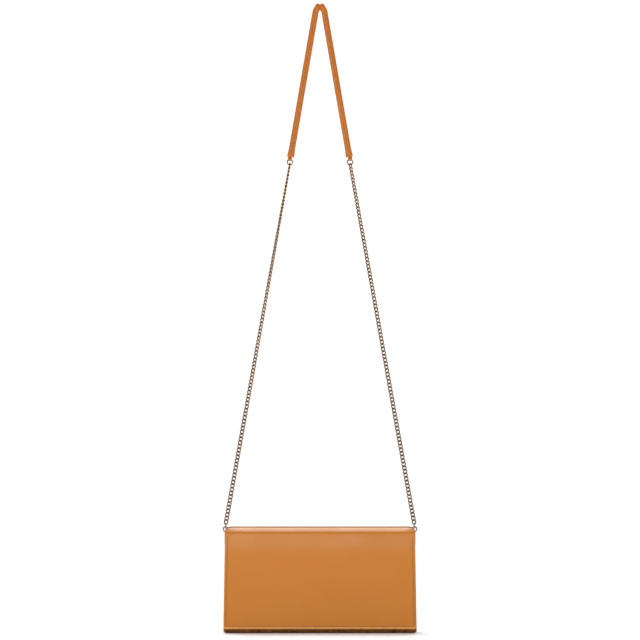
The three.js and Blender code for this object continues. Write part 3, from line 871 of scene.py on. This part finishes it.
def strap_pairs():
    """Inner and outer edge points of the strap's right half, from its sewn end up to the notch."""
    end_z, top_z = low("strap_face").z, high("strap_face").z
    down = Vector((STRAP_LEG_SLOPE, -1)).normalized()
    out = Vector((-down.y, down.x))
    pairs = []
    for k in range(STRAP_LEG_STEPS + 1):
        z = end_z + (STRAP_LEG_TOP_Z - end_z) * k / STRAP_LEG_STEPS
        centre = Vector((STRAP_LEG_TOP_X - STRAP_LEG_SLOPE * z, z))
        flare = STRAP_FLARE * (1 - smoothstep(0, STRAP_FLARE_LENGTH, z - end_z))
        half = STRAP_HALF_WIDTH + flare
        pairs.append((centre - out * half, centre + out * half))
    inner_start, outer_start = pairs[-1]
    shoulder, lobe = Vector(STRAP_SHOULDER), Vector((STRAP_LOBE_X, top_z))
    notch = Vector((0, top_z - STRAP_NOTCH_DROP))
    rim = curve(outer_start, Vector(STRAP_RIM_BEND), shoulder)
    rim += curve(shoulder, Vector((STRAP_LOBE_BEND_X, top_z)), lobe)
    rim += curve(lobe, Vector((STRAP_NOTCH_BEND_X, top_z)), notch)
    crook = Vector((0, inner_start.y))
    for k, outer in enumerate(rim, 1):
        turn = math.pi / 2 * k / len(rim)
        inner = crook + Vector((inner_start.x * math.cos(turn), -inner_start.y * math.sin(turn)))
        pairs.append((inner, outer))
    return pairs


def strap_line():
    """Edge pairs along the whole strap and the path through their middles."""
    right = strap_pairs()
    left = [(Vector((-i.x, i.y)), Vector((-o.x, o.y))) for i, o in right]
    pairs = left + list(reversed(right[:-1]))
    return pairs, Path([(i + o) / 2 for i, o in pairs])


def strap_height(edge, end, x, z):
    """Outer and inner height of a ply above the strap's middle plane."""
    crowned = closing(edge, 2.2)
    crease = bump(0, 0.7, x) * smoothstep(-1.5, 1.0, z)
    outer = STRAP_HOLLOW + STRAP_CROWN * crowned * (1 - 0.5 * crease)
    inner = STRAP_HOLLOW + STRAP_INSIDE * crowned
    halfway = (outer + inner) / 2
    share = closing(end, 0.5)
    return halfway + (outer - halfway) * share, halfway + (inner - halfway) * share


def make_strap_ply(name, node, side):
    """One leather ply; side is -1 for the face and 1 for the back."""
    pairs, path = strap_line()
    lines = [(inner, outer, min(mark, path.length - mark))
             for (inner, outer), mark in zip(pairs, path.marks)]
    for _ in range(2):
        a, b = lines[0], lines[1]
        near = []
        for step in STRAP_END_STEPS:
            share = step / b[2]
            near.append((a[0].lerp(b[0], share), a[1].lerp(b[1], share), step))
        lines = list(reversed([a] + near + lines[1:]))
    bm = bmesh.new()
    for face in (0, 1):
        rows = []
        for inner, outer, end in lines:
            width = (outer - inner).length
            shares = [e / width for e in STRAP_EDGE_STEPS]
            row = []
            for share in shares + [0.5] + [1 - s for s in reversed(shares)]:
                spot = inner.lerp(outer, share)
                edge = min(share, 1 - share) * width
                height = strap_height(edge, end, spot.x, spot.y)[face]
                tint_share = math.exp(-min(edge, end + 0.4) / STRAP_EDGE_FADE)
                row.append(((spot.x, side * height, spot.y), tint_share))
            rows.append(row)
        add_skin(bm, rows)
    weld(bm)
    stand_in(link_object(name, bm, STRAP), node, "strap")


def make_strap_thread():
    """A single row of stitches down each leg, on both faces."""
    path = strap_line()[1]
    bm = bmesh.new()
    radii = [radius for _, _, radius in STRAP_STITCH_PROFILE]
    start = STRAP_STITCH_END
    while start + STRAP_STITCH_LENGTH < path.length - STRAP_STITCH_END:
        if path.point(start + STRAP_STITCH_LENGTH / 2).y < STRAP_STITCH_TOP:
            for side in (-1, 1):
                points = []
                for share, lift, _ in STRAP_STITCH_PROFILE:
                    at = path.point(start + STRAP_STITCH_LENGTH * share)
                    height = strap_height(STRAP_HALF_WIDTH, 9.0, at.x, at.y)[0]
                    points.append(Vector((at.x, side * (height + lift), at.y)))
                add_tube(bm, points, [Y_AXIS * side] * len(points), radii, sides=6)
        start += STRAP_STITCH_PITCH
    piece = link_object("strap_thread", bm, THREAD)
    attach(piece, "strap")


def make_tab(node, body, stem_up, material):
    """A leather strip doubled round a ring's wire, its two ends pressed together."""
    axis_z = joint_height("chain_swing" if stem_up else "wallet_swing")
    loop = STRAP_TAB_LOOP if stem_up else CORNER_TAB_LOOP
    stem = TAB_STRIP / 2 + 0.02
    meet = math.asin(stem / loop)
    way = 1 if stem_up else -1
    far_z = STRAP_TAB_STEM if stem_up else low(node).z - axis_z
    points = [(-way * stem, far_z)]
    for k in range(33):
        turn = math.pi / 2 + meet + (2 * math.pi - 2 * meet) * k / 32
        points.append((way * loop * math.cos(turn), way * loop * math.sin(turn)))
    points.append((way * stem, far_z))
    path = Path([(y, axis_z + z) for y, z in points])
    half = STRAP_TAB_HALF if stem_up else CORNER_TAB_HALF
    sheet = Sheet(path, lambda s: half, level(TAB_STRIP / 2), level(-TAB_STRIP / 2), radius=0.25,
                  spacing=1.0, fine=((9, path.length - 9, 0.35),), centre=middle(node).x)
    stand_in(sheet.build(f"{node}_strip", material), node, body)


def joint_height(name):
    """Height of a joint: the ring's wire inside a tab turns about it."""
    joint = next(j for j in frame["joints"] if j["name"] == name)
    return joint["pos_m"][2] / MM


# ---- wallet shell ----


def down_path(depth_at, top_z, bottom_z, steps=24):
    """A path down a wall whose face stands at a depth that may change with height."""
    heights = [top_z + (bottom_z - top_z) * k / steps for k in range(steps + 1)]
    return Path([(BACK_Y - depth_at(z), z) for z in heights])


def undulation(x, z, amount):
    return amount * noise.noise(Vector((x * 0.021, z * 0.026, 3.7)))


def frame_thickness(edge, width):
    """Thick where the leather is turned over the board, thin inside."""
    return LEATHER + (TURNED_EDGE - LEATHER) * (1 - smoothstep(width, width + 0.4, edge))


def body_path():
    return Path(rounded([
        (BACK_Y - front_depth(FRONT_TOP_Z), FRONT_TOP_Z, 0),
        (BACK_Y - front_depth(BOTTOM_Z), BOTTOM_Z, BASE_FOLD_RADIUS),
        (BACK_Y, BOTTOM_Z, BASE_FOLD_RADIUS),
        (BACK_Y, TOP_Z, BACK_FOLD_RADIUS),
        (BACK_Y - SEAM_DEPTH, TOP_Z, 0),
    ]))


def over_top(path, s):
    """How far the leather has drawn in, past the back fold, to pass between the chains."""
    fold = path.length - SEAM_DEPTH
    return smoothstep(fold - 1.5, fold + 3.5, s)


def body_half(path, s):
    """Half width of the body's leather: narrow across the base and across the top."""
    _, z = path.point(s)
    half = outline_half(z) - corner_trim(z - BOTTOM_Z)
    if s < path.length / 3:
        half -= 0.6
    return half + (TOP_HALF - half) * over_top(path, s)


def top_sag(y):
    """How far the top of the wallet dips between its two folds."""
    depth = BACK_Y - y
    reach = flap_depth(TOP_Z)
    return TOP_SAG * smoothstep(0, 7, depth) * smoothstep(0, 4, reach - depth + 0.6)


def stitch_groove(edge):
    return GROOVE_DEPTH * bump(STITCH_INSET, GROOVE_WIDTH, edge)


def body_relief(path, s, x, edge):
    y, z = path.point(s)
    settled = 1 - smoothstep(path.length - 22, path.length - 13, s)
    swell = undulation(x, z, 0.22) * smoothstep(0, 9, edge) * settled - top_sag(y)
    fold = path.length - SEAM_DEPTH
    groove = stitch_groove(edge) * (1 - smoothstep(fold - 12, fold - 6, s))
    dish = 0.0
    if s < path.length / 3:
        dish = 0.55 * (1 - smoothstep(MAGNET_RADIUS + 0.1, MAGNET_RADIUS + 1.2,
                                      math.hypot(x, z - MAGNET_Z)))
    return swell - groove - dish


def base_painted_shade(path, s):
    """Painted shade: the leather turns to the near-black edge colour along the lower front and under
    the base, where the flap's overhang and the floor shade it.
    """
    y, z = path.point(s)
    return 1 - smoothstep(3.6, 5.2, z - BOTTOM_Z) if y < BACK_Y - 1 else 0.0


def make_body():
    path = body_path()
    fold = path.length - SEAM_DEPTH
    front_length = FRONT_TOP_Z - BOTTOM_Z
    base = front_length + FRONT_END_DEPTH
    folds = ((front_length - 5, front_length + 3, 0.5), (base - 6, base + 3, 0.5),
             (fold - 5, fold + 5, 0.5))
    sheet = Sheet(
        path, lambda s: body_half(path, s),
        lambda s, x, e: body_relief(path, s, x, e),
        lambda s, x, e: min(body_relief(path, s, x, e), 0.0) * 0.5 - frame_thickness(e, 1.8),
        free=(True, False), spacing=3.6, fine=folds, radius=0.9,
        # painted shade along the lower front and under the base
        painted_light=lambda s: base_painted_shade(path, s),
    )
    piece = sheet.build("body_leather", CALF)
    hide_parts("front_panel", "front_board", "base_panel", "back_panel")
    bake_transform(piece)
    make_body_thread(sheet, path)


def make_body_thread(sheet, path):
    """Stitches round the front pocket and round the back panel."""
    front_end = FRONT_TOP_Z - BOTTOM_Z - 5
    back_start = path.length - SEAM_DEPTH - (TOP_Z - BOTTOM_Z) + 6
    back_end = path.length - SEAM_DEPTH - 9
    starts = []
    for side in (-1, 1):
        for begin, end in ((STITCH_INSET + 1, front_end), (back_start, back_end)):
            starts += stitch_run(begin, end, lambda s: (
                s, side * (sheet.half_width(s) - STITCH_INSET), 1, 0))
    for row, wide_at in ((STITCH_INSET, STITCH_INSET), (back_start - 1, back_start)):
        reach = sheet.half_width(wide_at) - STITCH_INSET - 1
        starts += stitch_run(-reach, reach, lambda x: (row, x, 0, 1))
    piece = stitches("body_thread", sheet, starts)
    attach(piece, "wallet")


FLAP_FOLD = flap_hang(TOP_Z) - SEAM_DEPTH  # from the seam on the top to the front fold's corner


def flap_path():
    first_z = TOP_Z - FRONT_FOLD_RADIUS - 1.0
    start = rounded([
        (BACK_Y - SEAM_DEPTH, TOP_Z, 0),
        (BACK_Y - flap_hang(TOP_Z), TOP_Z, FRONT_FOLD_RADIUS),
        (BACK_Y - flap_hang(first_z), first_z, 0),
    ])
    steps = 60
    heights = [first_z + (FLAP_END_Z - first_z) * k / steps for k in range(1, steps + 1)]
    return Path(start + [Vector((BACK_Y - flap_hang(z), z)) for z in heights])


def flap_half(path, s, inset=0.0):
    _, z = path.point(s)
    half = outline_half(z) - corner_trim(z - FLAP_END_Z)
    over = smoothstep(NOTCH_REAR, NOTCH_REAR + NOTCH_RUN, s)
    return TOP_HALF + (half - TOP_HALF) * over - inset


def flap_relief(path, s, x, edge):
    y, z = path.point(s)
    drop = TOP_Z - z
    swell = undulation(x, z, 0.3) * smoothstep(0, 9, edge) * smoothstep(3, 12, drop)
    press = 0.46 * smoothstep(8, 22, drop) + 0.36 * smoothstep(12, 38, drop)
    groove = stitch_groove(edge) * smoothstep(6, 9, drop)
    return swell + press - groove - top_sag(y) * (1 - smoothstep(2, 6, drop))


def make_flap():
    path = flap_path()
    sheet = Sheet(
        path, lambda s: flap_half(path, s),
        lambda s, x, e: flap_relief(path, s, x, e),
        lambda s, x, e: -LEATHER - (frame_thickness(e, 3.1) - LEATHER)
        * smoothstep(FLAP_FOLD + 4, FLAP_FOLD + 8, s),
        free=(False, True), spacing=3.0, radius=0.9,
        fine=((FLAP_FOLD - 7, FLAP_FOLD + 7, 0.45), (FLAP_FOLD + 7, FLAP_FOLD + 30, 1.5)),
        # painted highlight: the flap's lowest 2.2 mm take the lighter edge colour
        painted_light=lambda s: smoothstep(path.length - 3.0, path.length - 2.2, s),
    )
    piece = sheet.build("flap_skin", FLAP_CALF_PAINTED_HIGHLIGHT)
    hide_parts("flap_top_leather", "flap_leather", "flap_board")
    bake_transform(piece)
    make_flap_thread(sheet, path)


def make_flap_thread(sheet, path):
    """Stitches down both sides of the flap and along its lower edge."""
    last = path.length - STITCH_INSET
    starts = []
    for side in (-1, 1):
        starts += stitch_run(FLAP_FOLD + 7.5, last - 1, lambda s: (
            s, side * (sheet.half_width(s) - STITCH_INSET), 1, 0))
    reach = sheet.half_width(last) - STITCH_INSET - 0.8
    starts += stitch_run(-reach, reach, lambda x: (last, x, 0, 1))
    piece = stitches("flap_thread", sheet, starts)
    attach(piece, "flap_front")


def make_flap_lining():
    path = flap_path()

    def deeper(s, near, far):
        return near + (far - near) * smoothstep(FLAP_FOLD - 4, FLAP_FOLD + 5, s)

    sheet = Sheet(
        path, lambda s: flap_half(path, s, LINING_TRIM),
        lambda s, x, e: -deeper(s, TOP_LINING_FROM, LINING_FROM),
        lambda s, x, e: -deeper(s, TOP_LINING_TO, LINING_TO)
        - undulation(x, s, 0.08) * smoothstep(0, 6, e),
        free=(False, True), spacing=4.5, radius=0.3,
        fine=((FLAP_FOLD - 5, FLAP_FOLD + 6, 0.5),),
    )
    piece = sheet.build("flap_suede", SUEDE)
    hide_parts("flap_top_lining", "flap_lining")
    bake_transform(piece)


def make_back_lining():
    path = Path(rounded([
        (BACK_Y, FLOOR_Z, 0),
        (BACK_Y, TOP_Z, BACK_FOLD_RADIUS),
        (BACK_Y - SEAM_DEPTH, TOP_Z, 0),
    ]))
    fold = path.length - SEAM_DEPTH
    lining_half = high("back_lining").x - 0.6

    def half(s):
        return lining_half + (TOP_HALF - LINING_TRIM - lining_half) * over_top(path, s)

    def deeper(s, near, far):
        return far + (near - far) * smoothstep(fold - 5, fold + 3, s)

    sheet = Sheet(
        path, half, lambda s, x, e: -deeper(s, TOP_LINING_FROM, LINING_FROM),
        lambda s, x, e: -deeper(s, TOP_LINING_TO, LINING_TO),
        free=(True, False), fine=((fold - 4, fold + 6, 0.5),), radius=0.3,
    )
    piece = sheet.build("back_suede", SUEDE)
    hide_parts("back_lining")
    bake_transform(piece)


def make_front_lining():
    path = down_path(front_depth, FRONT_TOP_Z - 1.0, FLOOR_Z)
    half = high("front_lining").x - 0.6
    sheet = Sheet(path, lambda s: half, level(-LINING_FROM), level(-LINING_TO), radius=0.3)
    stand_in(sheet.build("front_suede", SUEDE), "front_lining", "wallet")


# ---- gussets ----


def gusset_folds():
    """The depth and half width of each fold line, from the back to the front."""
    front = front_depth(TOP_Z) - GUSSET_REAR
    centre = BACK_Y
    return [(GUSSET_REAR, GUSSET_OUT), ((GUSSET_REAR + centre) / 2, GUSSET_IN),
            (centre, GUSSET_MIDDLE), ((centre + front) / 2, GUSSET_IN), (front, GUSSET_OUT)]


def gusset_x(depth, z, folds):
    """Soft pleats between the fold lines, standing out at the top where the tab is sewn on."""
    for (a, xa), (b, xb) in zip(folds, folds[1:]):
        if depth <= b:
            share = (depth - a) / (b - a)
            x = xa + (xb - xa) * (0.5 - 0.5 * math.cos(math.pi * share))
            break
    sewn = 1.1 * bump(BACK_Y, 1.6, depth) * smoothstep(GUSSET_TOP_Z - 14, GUSSET_TOP_Z - 9, z)
    return x + sewn


def make_gusset(word, side):
    folds = gusset_folds()
    rear, front = folds[0][0], folds[-1][0]
    columns, steps = 44, 32
    heights = [GUSSET_TOP_Z - e for e in (0, 0.1, 0.25, 0.5, 1.0, 2.0)]
    heights += [GUSSET_TOP_Z - 2 + (FLOOR_Z - GUSSET_TOP_Z + 2) * k / steps
                for k in range(1, steps + 1)]

    def spot(face, z, share):
        depth = rear + (front - rear) * share
        x = gusset_x(depth, z, folds) - GUSSET_WALL / 2
        x += face * GUSSET_WALL / 2 * closing(GUSSET_TOP_Z - z, 0.5)
        x += undulation(depth * 3, z, 0.25) * math.sin(math.pi * share)
        return side * x, BACK_Y - depth - FRONT_LEAN * (TOP_Z - z) * share, z

    bm = bmesh.new()
    outer, inner = [add_skin(bm, [[(spot(face, z, k / columns),
                                    math.exp((z - GUSSET_TOP_Z) / EDGE_FADE))
                                   for k in range(columns + 1)] for z in heights])
                    for face in (1, -1)]
    for j in range(columns):
        bm.faces.new((outer[-1][j], outer[-1][j + 1], inner[-1][j + 1], inner[-1][j]))
    for column in (0, columns):
        for i in range(len(heights) - 1):
            bm.faces.new((outer[i][column], outer[i + 1][column],
                          inner[i + 1][column], inner[i][column]))
    weld(bm)
    piece = link_object(f"gusset_{word}_leather", bm, CALF)
    stand_in(piece, f"gusset_{word}", "wallet")


# ---- inside ----


def node_sheet(node, lean=0.0, **shape):
    """A sheet in the place of a flat upright node, whose top may lean forward."""
    box_low, box_high = low(node), high(node)
    thick = box_high.y - box_low.y
    path = down_path(lambda z: BACK_Y - middle(node).y + lean * smoothstep(
        box_high.z - 5, box_high.z, z), box_high.z, box_low.z, 40)
    return Sheet(path, lambda s: box_high.x, level(thick / 2), level(-thick / 2), **shape)


def make_pocket_wall(node, name, lean):
    """A zip pocket wall whose top leans towards the zip."""
    sheet = node_sheet(node, lean, fine=((0, 7, 0.8),), radius=0.3)
    stand_in(sheet.build(name, SUEDE), node, "wallet")


def make_card_slot(node):
    """A card slot with a pressed line along its turned top edge."""
    box_low, box_high = low(node), high(node)
    depth = BACK_Y - box_low.y
    thick = box_high.y - box_low.y
    half = (box_high.x - box_low.x) / 2

    def outer(s, x, e):
        return -0.12 * bump(1.9, 0.3, s) + 0.1 * math.sin(math.pi * min(s / 60, 1.0))

    path = down_path(lambda z: depth, box_high.z, box_low.z)
    sheet = Sheet(path, lambda s: half, outer, level(-thick), fine=((1, 3, 0.3),), radius=0.3,
                  centre=middle(node).x)
    stand_in(sheet.build(f"{node}_leather", SLOT), node, "wallet")


def make_zip_tape(node, name):
    sheet = node_sheet(node, spacing=5, radius=0.2)
    stand_in(sheet.build(name, TAPE), node, "wallet")


def add_block(bm, centre, size, chamfer):
    """A small block with every edge chamfered."""
    half = [v / 2 for v in size]
    verts = {}
    for axis in range(3):
        for signs in ((a, b, c) for a in (-1, 1) for b in (-1, 1) for c in (-1, 1)):
            spot = [signs[k] * (half[k] - (0 if k == axis else chamfer)) for k in range(3)]
            verts[axis, signs] = bm.verts.new(Vector(centre) + Vector(spot))
    bmesh.ops.convex_hull(bm, input=list(verts.values()))


def make_teeth(node, name, side, offset):
    """A row of zip teeth that reach past the middle between those of the other row."""
    box_low, box_high = low(node), high(node)
    outer_y = box_low.y if side < 0 else box_high.y
    inner_y = ZIP_Y - side * TOOTH_REACH
    count = int((box_high.x - box_low.x) / TOOTH_PITCH)
    size = (TOOTH_LENGTH, abs(inner_y - outer_y), box_high.z - box_low.z)
    bm = bmesh.new()
    for k in range(count):
        x = box_low.x + TOOTH_PITCH * (k + 0.25 + offset)
        add_block(bm, (x, (inner_y + outer_y) / 2, middle(node).z), size, TOOTH_CHAMFER)
    stand_in(link_object(name, bm, ZIP_METAL), node, "wallet")


def finish_node(node, material, bevel):
    """Keeps a CAD node, eases its edges and gives it a better material."""
    piece = frame["nodes"][node]
    if piece.material_slots:
        piece.material_slots[0].material = material
    else:
        piece.data.materials.append(material)
    if bevel:
        easing = piece.modifiers.new("eased_edges", "BEVEL")
        easing.width = bevel * MM
        easing.segments = 2
        easing.limit_method = "ANGLE"
        easing.angle_limit = math.radians(35)


# ---- assembly ----


def main():
    make_camera()
    make_chain("left", 88, 4)
    make_chain("right", 55, 2)
    make_studio()
    for word, side in (("left", -1), ("right", 1)):
        make_ring(f"strap_ring_{word}", STRAP_RING, 0.6)
        make_ring(f"corner_ring_{word}", CORNER_RING, 3.6)
        make_end_link(f"end_link_{word}")
        make_tab(f"strap_tab_{word}", "strap", True, STRAP)
        make_tab(f"corner_tab_{word}", "wallet", False, CALF)
        make_gusset(word, side)
        for row in ("upper", "middle", "lower"):
            make_card_slot(f"card_slot_{row}_{word}")
        finish_node(f"zip_stop_{word}", ZIP_METAL, 0.2)
    make_strap_ply("strap_face_leather", "strap_face", -1)
    make_strap_ply("strap_back_leather", "strap_lining", 1)
    make_strap_thread()
    make_body()
    make_flap()
    make_flap_lining()
    make_back_lining()
    make_front_lining()
    make_pocket_wall("pocket_back_wall", "pocket_back_suede", POCKET_LEAN)
    make_pocket_wall("pocket_front_wall", "pocket_front_suede", -POCKET_LEAN)
    make_zip_tape("zip_tape_back", "zip_tape_back_weave")
    make_zip_tape("zip_tape_front", "zip_tape_front_weave")
    make_teeth("zip_teeth_back", "teeth_back", 1, 0.0)
    make_teeth("zip_teeth_front", "teeth_front", -1, 0.5)
    for node, material, bevel in (
            ("zip_slider", ZIP_METAL, 0.15), ("zip_pull", ZIP_METAL, 0.18),
            ("flap_magnet", STEEL, 0.25), ("front_magnet", STEEL, 0.25),
            ("strap_core", CORE, 0), ("back_board", BOARD, 0)):
        finish_node(node, material, bevel)


main()
